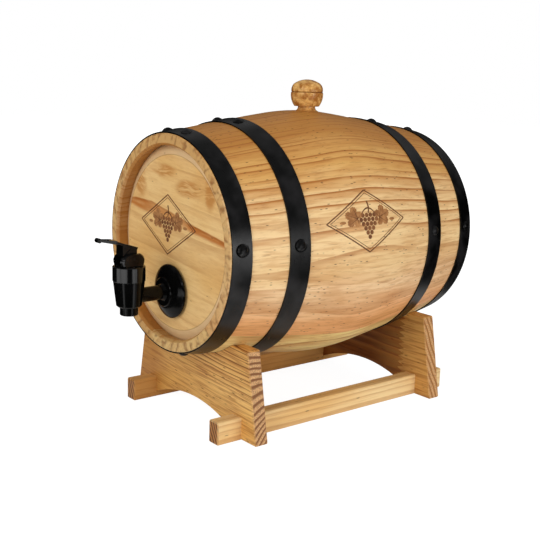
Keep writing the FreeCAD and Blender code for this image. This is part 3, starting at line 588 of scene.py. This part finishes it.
def dress_bung():
    """Turned and varnished knob with upright grain and a dark groove round it."""
    low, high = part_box("bung")
    origin = (low + high) / 2
    paint = Paint("bung_varnished")
    axes = ((0.1, 0, 0.99), (0, 1, 0), (0.99, 0, -0.1))
    wood = Wood(paint, [paint.along(axis, origin) for axis in axes], 3.3)
    soft, core = wood.rings(4 * MM, (16 * MM, 6 * MM), sway=3 * MM, reach=30 * MM)
    cloud = paint.noise(paint.place, 170.0, 3.0)
    ticks = wood.pores(2 * MM, 0.2)
    below = paint.along((0, 0, 1), (0, 0, high.z - BUNG_GROOVE))
    colour = paint.coats(
        srgb(240, 188, 110),
        (srgb(170, 108, 42), cloud.step(0.35, 0.65)),
        (LATE_ORANGE, soft * 0.35),
        (LATE_BROWN, core * 0.2),
        (LATE_BROWN, wood.fibres(700.0, 0.2).fall(0.32, 0.5) * 0.4),
        (END_BROWN, below.band(-0.7 * MM, 0.7 * MM, 0.3 * MM) * 0.65),
        (PORE, ticks * 0.7))
    dress(wood.finish(colour, core, ticks, 0.26), "bung")


# ---------------------------------------------------------------- steel, plastic, rubber
def black_steel(name, roughness):
    """Blackened steel: faint rolling streaks round the band, cloudy sheen."""
    paint = Paint(name)
    streaks = paint.noise(paint.vector("MULTIPLY", paint.place, (1.0, 6.0, 1.0)), 120.0, 3.0)
    cloud = paint.noise(paint.place, 38.0, 3.0)
    colour = paint.mix(srgb(2, 2, 2), srgb(32, 31, 32), cloud.step(0.42, 0.72))
    shine = roughness + (streaks - 0.5) * 0.1 + (cloud - 0.5) * 0.16
    return paint.surface(colour, shine, streaks, 0.03 * MM, Specular_IOR_Level=0.34)


def black_plastic(name, roughness, specular, fineness=600.0):
    """Moulded plastic, or rubber, with a very fine grain."""
    paint = Paint(name)
    grain = paint.noise(paint.place, fineness)
    wipe = paint.noise(paint.place, 45.0)
    colour = paint.mix(srgb(4, 4, 4), srgb(10, 10, 10), wipe.step(0.35, 0.8))
    return paint.surface(colour, roughness + (wipe - 0.5) * 0.08, grain, 0.015 * MM,
                         Specular_IOR_Level=specular)


def drawn_steel(name):
    """Bright steel with the fine lines that drawing leaves."""
    paint = Paint(name)
    rub = paint.noise(paint.vector("MULTIPLY", paint.place, (8.0, 1.0, 1.0)), 400.0)
    colour = paint.mix(srgb(150, 150, 152), srgb(190, 190, 192), rub)
    return paint.surface(colour, 0.3 + rub * 0.15, rub, 0.01 * MM, Metallic=1.0)


def dress_metal_and_plastic():
    """Hoops and their nails, and the tap's pieces by how bright each is."""
    hoops = black_steel("hoop_black_steel", 0.3)
    studs = black_steel("nail_black_steel", 0.34)
    for end in ("front", "rear"):
        for kind in ("head", "quarter"):
            dress(hoops, "hoop_%s_%s" % (end, kind))
            dress(studs, "nails_%s_%s" % (end, kind))
    dress(black_plastic("tap_black_gloss", 0.14, 0.38), "tap_bonnet")
    dress(black_plastic("tap_black_polish", 0.15, 0.16), "tap_escutcheon", "tap_body")
    dress(black_plastic("tap_black_satin", 0.2, 0.3),
          "tap_lever", "tap_stem", "tap_nut", "tap_pivot_pin")
    dress(black_plastic("tap_collar_gloss", 0.14, 0.4), "tap_collar")
    dress(black_plastic("seal_black_rubber", 0.6, 0.3, 300.0), "tap_gasket", "tap_seat_cup")
    dress(drawn_steel("pin_drawn_steel"), "tap_crank_pin", "tap_spring")


# ---------------------------------------------------------------- skins over loops of points
def skin(loops, start=0):
    """Points and faces of a closed skin over a stack of closed loops, flat at both ends.

    Each quad joins two neighbours on a loop with the same two on the next.  Where the sum of
    (a cross b) dot c over the quads, taken from the middle, is negative, the faces point inwards
    and are all turned round.  start is the number of the first point.
    """
    count, around = loops.shape[:2]
    index = np.arange(count * around).reshape(count, around)
    turned = np.roll(index, -1, axis=1)
    sides = np.stack([index[:-1], turned[:-1], turned[1:], index[1:]], -1).reshape(-1, 4)
    ends = np.stack([index[0][::-1], index[-1]])
    points = loops.reshape(-1, 3)
    a, b, c = np.moveaxis(points[sides[:, :3]] - points.mean(axis=0), 1, 0)
    order = -1 if np.einsum("ij,ij->", np.cross(a, b), c) < 0 else 1
    sides, ends = ((group[:, ::order] + start).tolist() for group in (sides, ends))
    return points, sides + ends


def new_piece(name, points, faces, material, body):
    """A piece of the object that rides on a body."""
    mesh = bpy.data.meshes.new(name)
    mesh.from_pydata(points.tolist(), [], faces)
    mesh.materials.append(material)
    piece = bpy.data.objects.new(name, mesh)
    bpy.context.scene.collection.objects.link(piece)
    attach(piece, body)
    return piece


# ---------------------------------------------------------------- valve spring
SPRING_WIRE_R = 0.55 * MM
SPRING_TURNS = 5


def make_valve_spring():
    """Coil spring on the valve: a ring of wire carried up a helix.

    At helix angle a and ring angle b the distance from the axis is mean + wire cos b, and the
    height rises evenly with a, plus wire sin b.
    """
    low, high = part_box("tap_spring")
    wire, whole = SPRING_WIRE_R, SPRING_TURNS * math.tau
    mean = (high.x - low.x) / 2 - wire
    tall = high.z - low.z
    a = np.linspace(0, whole, SPRING_TURNS * 36 + 1)[:, None]
    b = np.linspace(0, math.tau, 12, endpoint=False)[None, :]
    radius = mean + wire * np.cos(b)
    height = low.z + wire + (tall - 2 * wire) * a / whole + wire * np.sin(b)
    x = (low.x + high.x) / 2 + radius * np.cos(a)
    y = (low.y + high.y) / 2 + radius * np.sin(a)
    points, faces = skin(np.stack([x, y, height], -1))
    spring = new_piece(
        "valve_spring", points, faces, drawn_steel("spring_drawn_steel"), "valve")
    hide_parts("tap_spring")
    lift = next(j["range_m"][1] for j in frame["joints"] if j["name"] == "valve_lift")
    1 - lift / tall
    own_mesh(spring)


# ---------------------------------------------------------------- burnt-in ornament
HEAD_RIGHT, HEAD_UP = -10 * MM, 16 * MM      # the ornament's middle from the head's
SIDE_ALONG = -11 * MM                        # and from the cask's middle, along it
SIDE_TURN = 77                               # degrees round from the top
SIDE_SCALE = 1.03                            # size of the side's ornament against the head's

SUNK = -0.1 * MM                             # how far each mark reaches into the wood
LINE_TOP = 0.12 * MM
VEIN_OVER = 0.08 * MM                        # a vein's height over a line's
LEAF_TOP, BUD_TOP, GRAPE_TOP = 0.16 * MM, 0.14 * MM, 0.3 * MM
DOME_SHARE = np.array([1.0, 1.0, 0.94, 0.8, 0.55, 0.25])
DOME_RISE = np.array([0.25, 0.6, 0.85, 0.97, 1.0])

LOZENGES = ((46, 28, 1.1), (42, 25.3, 0.5))  # half width, half height and line, in mm
LEAF_PLACE = np.array([16.5, 4.0]) * MM      # right and up from the ornament's middle
LEAF_SIZE = 9.6 * MM
LEAF_TURN = 0.35                             # radians that a leaf's tip turns up from level
VEIN_ROOT, VEIN_REACH = 4 * MM, 7.6 * MM     # from a leaf's middle, to its stalk and to its lobes
BUD_OUT, BUD_WIDE, BUD_TALL = 29 * MM, 3.4 * MM, 1.4 * MM
GRAPE_R = 2.05 * MM
GRAPE_GAP, GRAPE_DROP = 4.5 * MM, 3.9 * MM   # from grape to grape, and from row to row
GRAPE_HIGH = 5.2 * MM                        # the first row's height over the middle
GRAPE_ROWS = (4, 5, 4, 3, 2, 1)


def cask_radius(y):
    """Outer radius of the staves at distances y from the middle.

    A short arc over the middle meets one long arc to each end.  The short arc's radius is a
    share of the arc through the middle and both ends, and the long arc runs on from it, tangent.
    Each radius is the arc's centre plus the root of its own radius squared less y squared.
    """
    rise = BILGE_R - CHIME_R
    short = MIDDLE_CURVE * (CASK_HALF ** 2 + rise ** 2) / (2 * rise)
    sine = MIDDLE_HALF / short
    cosine = math.sqrt(1 - sine * sine)
    joint_r = BILGE_R - short * (1 - cosine)
    dy = CASK_HALF - MIDDLE_HALF
    dr = CHIME_R - joint_r
    long = -(dy * dy + dr * dr) / (2 * (dy * sine + dr * cosine))
    y = np.abs(y)
    near = BILGE_R - short + np.sqrt(np.maximum(short ** 2 - y ** 2, 0))
    far = joint_r - long * cosine + np.sqrt(long ** 2 - (y - MIDDLE_HALF + long * sine) ** 2)
    return np.where(y <= MIDDLE_HALF, near, far)


def on_head(flat):
    """Lay (right, up, lift) of the design plane on the front head.

    x = right, z = up, both from the ornament's middle, and y = the panel's face less lift.
    """
    right, up, lift = np.moveaxis(flat, -1, 0)
    return np.stack([right + HEAD_RIGHT, PANEL_Y - lift, CASK_MIDDLE.z + HEAD_UP + up], -1)


def on_side(flat):
    """Wrap (right, up, lift) of the design plane round the cask's side.

    y = right from the ornament's middle, the angle from the top = SIDE_TURN less up over the
    cask's radius, and the distance from the cask's axis = cask_radius(y) plus lift.  x goes no
    further out than the cask's middle does.
    """
    right, up, lift = np.moveaxis(flat, -1, 0)
    y = right * SIDE_SCALE + SIDE_ALONG
    angle = math.radians(SIDE_TURN) - up * SIDE_SCALE / BILGE_R
    radius = cask_radius(y) + lift
    x = np.minimum(radius * np.sin(angle), BILGE_R)
    return np.stack([x, y + CASK_MIDDLE.y, CASK_MIDDLE.z + radius * np.cos(angle)], -1)


def stroke(points, width):
    """Flat raised line along points of the design plane, of a width that may vary along it.

    Its section is a rectangle: half the width to each side along the line's normal, and from
    SUNK up to LINE_TOP.
    """
    run = np.gradient(points, axis=0)
    run /= np.linalg.norm(run, axis=1, keepdims=True)
    side = np.stack([-run[:, 1], run[:, 0]], -1)
    side *= np.broadcast_to(width, len(points))[:, None] / 2
    loops = np.empty((len(points), 4, 3))
    loops[:, 0, :2] = loops[:, 3, :2] = points - side
    loops[:, 1, :2] = loops[:, 2, :2] = points + side
    loops[:, :2, 2] = SUNK
    loops[:, 2:, 2] = LINE_TOP
    return loops


def dome(outline, height):
    """Low rounded boss: its outline shrunk about its middle to DOME_SHARE at rising heights."""
    level = np.append(SUNK, height * DOME_RISE)
    middle = outline.mean(axis=0)
    flat = middle + (outline - middle) * DOME_SHARE[:, None, None]
    return np.concatenate([flat, np.broadcast_to(level[:, None, None], flat.shape[:2] + (1,))], -1)


def ellipse(x, y, wide, tall, count):
    """Points round an ellipse: x + wide cos a, y + tall sin a."""
    a = np.linspace(0, math.tau, count, endpoint=False)
    return np.stack([x + wide * np.cos(a), y + tall * np.sin(a)], -1)


def vine_leaf(x, y, size, turn):
    """Five-lobed leaf round (x, y).

    Radius over size = 0.6 + 0.4 |cos 2.5a| to the power 0.7, less a dent of 0.22 at the stalk,
    where a is half a turn, all times a fine ripple of 1 + 0.045 sin 25a.
    """
    a = np.linspace(0, math.tau, 90, endpoint=False)
    dent = 0.22 * np.exp(-((a - math.pi) / 0.3) ** 2)
    radius = size * (0.6 + 0.4 * np.abs(np.cos(2.5 * a)) ** 0.7 - dent)
    radius *= 1 + 0.045 * np.sin(25 * a)
    return np.stack([x + radius * np.cos(a + turn), y + radius * np.sin(a + turn)], -1)


def lozenge(wide, tall):
    """Points round a rhombus, starting and ending half way along one side.

    x is a triangle wave of t from wide to -wide and back over t = 0 to 4, and y one of tall, a
    quarter of the way behind it.
    """
    t = np.linspace(0, 4, 201)
    x = wide * (1 - np.abs(((t + 0.5) % 4) - 2))
    y = tall * (1 - np.abs(((t - 0.5) % 4) - 2))
    return np.stack([x, y], -1)


def ornament_shapes():
    """A bunch of grapes and two vine leaves in a double-lined lozenge, as loops by finish.

    Leaf veins are straight, stalks fall as a parabola, the stem sways as a sine, and buds and
    grapes are ellipses.
    """
    lines = [stroke(lozenge(wide * MM, tall * MM), line * MM) for wide, tall, line in LOZENGES]
    leaves = []
    t = np.linspace(0, 1, 24)
    for side in (-1, 1):
        turn = LEAF_TURN if side > 0 else math.pi - LEAF_TURN
        place = LEAF_PLACE * (side, 1)
        leaves.append(dome(vine_leaf(*place, LEAF_SIZE, turn), LEAF_TOP))
        root = place - VEIN_ROOT * np.array([math.cos(turn), math.sin(turn)])
        for a in turn + np.arange(-2, 3) * math.tau / 5:
            tip = place + VEIN_REACH * np.array([math.cos(a), math.sin(a)])
            vein = stroke(root + (tip - root) * t[:, None], (0.75 - 0.5 * t) * MM)
            lines.append(vein + [0, 0, VEIN_OVER])
        stalk = np.stack([side * 9 * MM * t, 11.5 * MM - 6.5 * MM * t ** 2], -1)
        lines.append(stroke(stalk, (1.4 - 0.6 * t) * MM))
        leaves.append(dome(ellipse(side * BUD_OUT, 0, side * BUD_WIDE, BUD_TALL, 23), BUD_TOP))
    stem = np.stack([1.2 * MM * np.sin(3 * t), (7 + 11 * t) * MM], -1)
    lines.append(stroke(stem, (1.2 + 0.5 * t) * MM))
    fruit = [
        dome(ellipse((k - (count - 1) / 2) * GRAPE_GAP, GRAPE_HIGH - row * GRAPE_DROP,
                     GRAPE_R, GRAPE_R, 28), GRAPE_TOP)
        for row, count in enumerate(GRAPE_ROWS) for k in range(count)
    ]
    return {"lines": lines, "leaves": leaves, "fruit": fruit}


def burnt_wood(name, dark, light):
    """Scorched wood, browner where the burn went deep."""
    paint = Paint(name)
    cloud = paint.noise(paint.place, 220.0, 3.0)
    fibre = paint.noise(paint.vector("MULTIPLY", paint.place, (0.2, 0.1, 1.0)), 900.0)
    colour = paint.coats(dark, (light, cloud.step(0.3, 0.75)), (dark, fibre.step(0.5, 0.7) * 0.3))
    return paint.surface(colour, 0.55 + cloud * 0.1, fibre, 0.05 * MM, Specular_IOR_Level=0.3)


def make_ornaments():
    """The same ornament on the front head and on the cask's side, one piece for each finish."""
    finishes = {
        "lines": burnt_wood("ornament_burnt_line", srgb(96, 56, 28), srgb(132, 82, 44)),
        "leaves": burnt_wood("ornament_burnt_leaf", srgb(150, 96, 50), srgb(190, 134, 78)),
        "fruit": burnt_wood("ornament_burnt_fruit", srgb(112, 66, 34), srgb(150, 96, 54)),
    }
    shapes = ornament_shapes()
    for place, wrap, slot in (("head", on_head, "head_oak"), ("side", on_side, "stave_oak")):
        for kind, stacks in shapes.items():
            points, faces, start = [], [], 0
            for loops in stacks:
                some, polygons = skin(wrap(loops), start)
                points.append(some)
                faces += polygons
                start += len(some)
            new_piece("ornament_%s_%s" % (place, kind), np.concatenate(points), faces,
                      finishes[kind], "cask")


# ---------------------------------------------------------------- camera
CAMERA = CASK_MIDDLE + Vector((719.7, -611.1, 150.7)) * MM
CAMERA_TURN = 51.08          # degrees round from looking along +Y
CAMERA_RISE = -11.51         # degrees up from level
CAMERA_ROLL = 1.68           # degrees
CAMERA_LENS = 62.19          # mm
CAMERA_SENSOR = 36.0         # mm wide


def make_camera():
    """Camera at CAMERA, turned to the left, tipped down and rolled a little."""
    turn, rise, roll = (math.radians(v) for v in (CAMERA_TURN, CAMERA_RISE, CAMERA_ROLL))
    ahead = Vector((-math.sin(turn) * math.cos(rise), math.cos(turn) * math.cos(rise),
                    math.sin(rise)))
    right = Vector((math.cos(turn), math.sin(turn), 0))
    up = right.cross(ahead)
    side = right * math.cos(roll) + up * math.sin(roll)
    top = up * math.cos(roll) - right * math.sin(roll)
    camera = bpy.data.cameras.new("camera")
    camera.lens = CAMERA_LENS
    camera.sensor_width = CAMERA_SENSOR
    placed = bpy.data.objects.new("camera", camera)
    turned = Matrix((side, top, -ahead)).transposed()
    placed.matrix_world = Matrix.Translation(CAMERA) @ turned.to_4x4()
    bpy.context.scene.collection.objects.link(placed)
    bpy.context.scene.camera = placed


# ---------------------------------------------------------------- floor and light
WORLD_LIGHT = 0.55           # strength of the white world as the object's light
FLOOR_REACH = 6.0
FLOOR_GLOW = 1.26            # strength at which the floor shows as plain white
SHADOW_NEAR, SHADOW_FAR = 0.25, 0.85         # the floor's shadow fades out between these
FLAG_TURN = 40               # degrees of one black flag
FLAG_NEAR, FLAG_FAR = 0.32, 1.9
FLAG_LOW, FLAG_HIGH = 1 * MM, 1.4
CEILING_LOW, CEILING_HIGH = Vector((-1.5, -1.6, 0.92)), Vector((1.1, 1.6, 0.92))
CEILING_GLOWS = 0.1, 0.3
CARD_GLOWS = 1.2, 2.4
CARD_NEAR, CARD_FAR = 0.12, 0.6              # from the tap
CARD_LOW, CARD_HIGH = 4 * MM, 130 * MM
CARDS = (("front", -30, 46), ("side", 80, 112))      # from one turn to another, in degrees
STRIP_LOW = 3 * MM
STRIPS = (("front", 10, 22), ("side", 86, 100))


def soft_light(name, place, width, height, watts):
    """Rectangular lamp that faces the cask, placed from its middle."""
    lamp = bpy.data.lights.new(name, "AREA")
    lamp.shape = "RECTANGLE"
    lamp.size = width
    lamp.size_y = height
    lamp.energy = watts
    placed = bpy.data.objects.new(name, lamp)
    placed.location = CASK_MIDDLE + Vector(place)
    placed.rotation_euler = (-Vector(place)).to_track_quat("-Z", "Y").to_euler()
    bpy.context.scene.collection.objects.link(placed)


def white_background():
    """World that looks white and lights the object from all round at WORLD_LIGHT."""
    sky = Paint("studio", bpy.data.worlds)
    camera_ray, glossy_ray = (sky.node("ShaderNodeLightPath", output=ray)
                              for ray in ("Is Camera Ray", "Is Glossy Ray"))
    lit, plain = (sky.node("ShaderNodeBackground", None, {"Color": grey(1.0), "Strength": strength})
                  for strength in (WORLD_LIGHT, 1.0))
    both = sky.mix_shaders(lit, plain, camera_ray.math("MAXIMUM", glossy_ray))
    sky.node("ShaderNodeOutputWorld", None, {"Surface": both})
    bpy.context.scene.world = sky.material


def studio_card(name, corners, material):
    """A four-cornered sheet of the studio."""
    mesh = bpy.data.meshes.new(name)
    mesh.from_pydata([tuple(c) for c in corners], [], [(0, 1, 2, 3)])
    mesh.materials.append(material)
    card = bpy.data.objects.new(name, mesh)
    bpy.context.scene.collection.objects.link(card)
    return card


def gloss_card(name, corners, material):
    """A sheet that shows only in what is glossy."""
    card = studio_card(name, corners, material)
    card.visible_camera = False
    card.visible_diffuse = False
    card.visible_shadow = False


def white_floor():
    """Pale floor that keeps the shadow near the object and turns to plain white further off."""
    paint = Paint("studio_floor")
    speck = paint.noise(paint.place, 3.0)
    lit = paint.node("ShaderNodeBsdfPrincipled", None, {
        "Base Color": paint.mix(grey(0.88), grey(0.92), speck),
        "Roughness": 1.0, "Specular IOR Level": 0.0})
    far = paint.vector("LENGTH", paint.place, (0, 0, 0), "Value").step(SHADOW_NEAR, SHADOW_FAR)
    seen = paint.node("ShaderNodeLightPath", output="Is Camera Ray") * (far * 0.25 + 0.75)
    paint.finish(paint.mix_shaders(lit, paint.glow(FLOOR_GLOW), seen))
    low, high = -FLOOR_REACH, FLOOR_REACH
    studio_card("floor", [(low, low, 0), (high, low, 0), (high, high, 0), (low, high, 0)],
                paint.material)


def round_the_set(middle, turn, far, height):
    """Point far from a middle, turned from -Y towards +X, at a height from the floor."""
    angle = math.radians(turn)
    return middle.x + far * math.sin(angle), middle.y - far * math.cos(angle), height


def upright(first, second, height):
    """Corners of an upright sheet from two points on its foot to a height."""
    return [first, second, (*second[:2], height), (*first[:2], height)]


def black_flags():
    """Dark cards round and under the set, so steel and plastic read black."""
    paint = Paint("studio_flag")
    weave = paint.noise(paint.place, 40.0)
    paint.surface(paint.mix(srgb(5, 5, 5), srgb(10, 10, 10), weave), 0.9, weave, 0.1 * MM)
    sheets = []
    for turn in range(-180, 180, FLAG_TURN):
        (inner_a, outer_a), (inner_b, outer_b) = (
            [round_the_set(CASK_MIDDLE, t, far, FLAG_LOW) for far in (FLAG_NEAR, FLAG_FAR)]
            for t in (turn, turn + FLAG_TURN))
        sheets += [[inner_a, outer_a, outer_b, inner_b], upright(outer_a, outer_b, FLAG_HIGH)]
    for number, corners in enumerate(sheets):
        gloss_card("flag_%d" % number, corners, paint.material)


def dim_ceiling():
    """Sheet overhead that gives the upper sides of hoops and tap a faint sheen."""
    paint = Paint("studio_ceiling")
    cloud = paint.noise(paint.place, 3.0).step(0.35, 0.65)
    paint.finish(paint.mix_shaders(*(paint.glow(s) for s in CEILING_GLOWS), cloud))
    low, high = CEILING_LOW, CEILING_HIGH
    corners = [low, (high.x, low.y, low.z), high, (low.x, high.y, low.z)]
    gloss_card("ceiling", corners, paint.material)


def white_cards():
    """Low bright cards, and strips on the floor, that draw the upright highlights on the tap."""
    paint = Paint("studio_white_card")
    fade = paint.noise(paint.place, 9.0, 3.0).step(0.3, 0.6)
    paint.finish(paint.mix_shaders(*(paint.glow(s) for s in CARD_GLOWS), fade))
    low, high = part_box("tap_body")
    tap = Vector((0, (low.y + high.y) / 2, 0))
    for name, start, stop in CARDS:
        foot = [round_the_set(tap, turn, CARD_FAR, CARD_LOW) for turn in (start, stop)]
        gloss_card("white_card_" + name, upright(*foot, CARD_HIGH), paint.material)
    for name, start, stop in STRIPS:
        ring = ((start, CARD_FAR), (stop, CARD_FAR), (stop, CARD_NEAR), (start, CARD_NEAR))
        corners = [round_the_set(tap, turn, far, STRIP_LOW) for turn, far in ring]
        gloss_card("white_strip_" + name, corners, paint.material)


dress_staves()
dress_heads()
dress_stand()
dress_bung()
dress_metal_and_plastic()
make_valve_spring()
make_ornaments()
make_camera()
white_background()
white_floor()
black_flags()
dim_ceiling()
white_cards()
soft_light("key", place=(0.6, -1.7, 0.7), width=1.1, height=0.9, watts=10.5)
soft_light("fill", place=(1.8, 0.3, 0.0), width=1.0, height=0.7, watts=11.0)

bpy.context.scene.view_settings.view_transform = "Standard"
